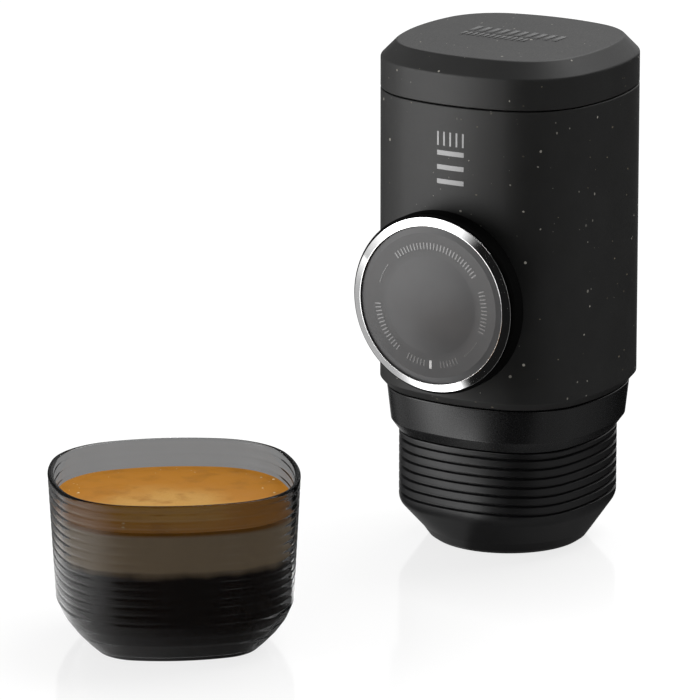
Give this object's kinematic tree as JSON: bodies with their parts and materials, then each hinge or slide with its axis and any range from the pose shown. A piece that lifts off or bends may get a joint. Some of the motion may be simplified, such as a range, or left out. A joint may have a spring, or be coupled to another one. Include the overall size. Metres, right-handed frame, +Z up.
{
  "type": "handheld manual espresso maker",
  "caption": "Hand-pumped capsule espresso maker: rounded-square body on a ribbed outlet head, side piston knob, tank lid, and a ribbed smoke-clear cup standing beside it.",
  "frame": {"origin": "centre of the maker's base, on the surface it stands on", "axes": "+Z up through the tank lid, -Y out of the piston knob, +X to the right seen from the knob side"},
  "size_m": [0.0915, 0.1843, 0.1318],
  "materials": {
    "speckled_shell": "satin-matte charcoal with sparse cream specks",
    "band": "satin black",
    "ribbed_head": "satin black, ribbed",
    "foot": "soft matte black",
    "knob_skirt": "gloss black",
    "knob_metal": "polished",
    "knob_face": "satin grey",
    "smoke_cup": "smoke-clear plastic, ribbed",
    "frame_plastic": "moulded dark grey",
    "tank_plastic": "smooth dark grey",
    "seal": "grey silicone",
    "steel": "satin stainless",
    "brass": "turned",
    "holder": "satin anodised"
  },
  "bodies": {
    "outlet_head": {"outlet_shell": "ribbed_head", "foot_ring": "foot", "nozzle": "ribbed_head", "plate_seal": "seal", "piercing_plate": "steel"},
    "chamber_seal": {"chamber_gasket": "seal"},
    "main_body": {"collar_band": "band", "deck_screws": "steel", "capsule_holder": "holder", "needle_plate": "steel", "holder_seal": "seal", "pump_block": "frame_plastic", "inlet_cage": "brass", "outlet_spring": "steel", "outlet_plug": "brass", "gland": "brass", "return_spring": "steel", "guide_bush": "ribbed_head", "casing": "speckled_shell", "water_tank": "tank_plastic", "tank_seal": "seal", "inlet_filter": "steel"},
    "inlet_ball": {"inlet_ball": "steel"},
    "outlet_ball": {"outlet_ball": "steel"},
    "piston": {"piston_rod": "steel", "piston_head": "frame_plastic", "piston_seals": "seal", "knob_screw": "steel"},
    "knob": {"knob_body": "knob_skirt", "knob_ring": "knob_metal", "knob_disc": "knob_face"},
    "lid": {"cap_shell": "speckled_shell", "cap_plug": "frame_plastic", "cap_seal": "seal", "cap_screws": "steel", "cap_vent": "seal"},
    "cup": {"cup": "smoke_cup"}
  },
  "joints": [
    {"name": "head_rise", "type": "slide", "parent": "outlet_head", "child": "chamber_seal", "axis": [0, 0, 1], "range_m": [0, 0.004]},
    {"name": "head_twist", "type": "hinge", "parent": "chamber_seal", "child": "main_body", "pos_m": [0, 0, 0.0365], "axis": [0, 0, 1], "range_deg": [0, 40]},
    {"name": "piston_slide", "type": "slide", "parent": "main_body", "child": "piston", "axis": [0, -1, 0], "range_m": [0, 0.0125], "deforming": ["return_spring"]},
    {"name": "knob_turn", "type": "hinge", "parent": "piston", "child": "knob", "pos_m": [0, -0.034, 0.07], "axis": [0, -1, 0], "range_deg": [0, 60]},
    {"name": "inlet_ball_lift", "type": "slide", "parent": "main_body", "child": "inlet_ball", "axis": [0, 0, 1], "range_m": [0, 0.0014]},
    {"name": "outlet_ball_drop", "type": "slide", "parent": "main_body", "child": "outlet_ball", "axis": [0, 0, -1], "range_m": [0, 0.0014], "stiffness_N_per_m": 60, "springref_m": -0.001, "deforming": ["outlet_spring"]},
    {"name": "lid_lift", "type": "slide", "parent": "main_body", "child": "lid", "axis": [0, 0, 1], "range_m": [0, 0.04]},
    {"name": "cup_lift", "type": "slide", "parent": "outlet_head", "child": "cup", "axis": [0, 0, 1], "range_m": [0, 0.06]}
  ],
  "couplings": [
    {"joint": "head_rise", "follows": "head_twist", "m_per_rad": 0.005729}
  ]
}
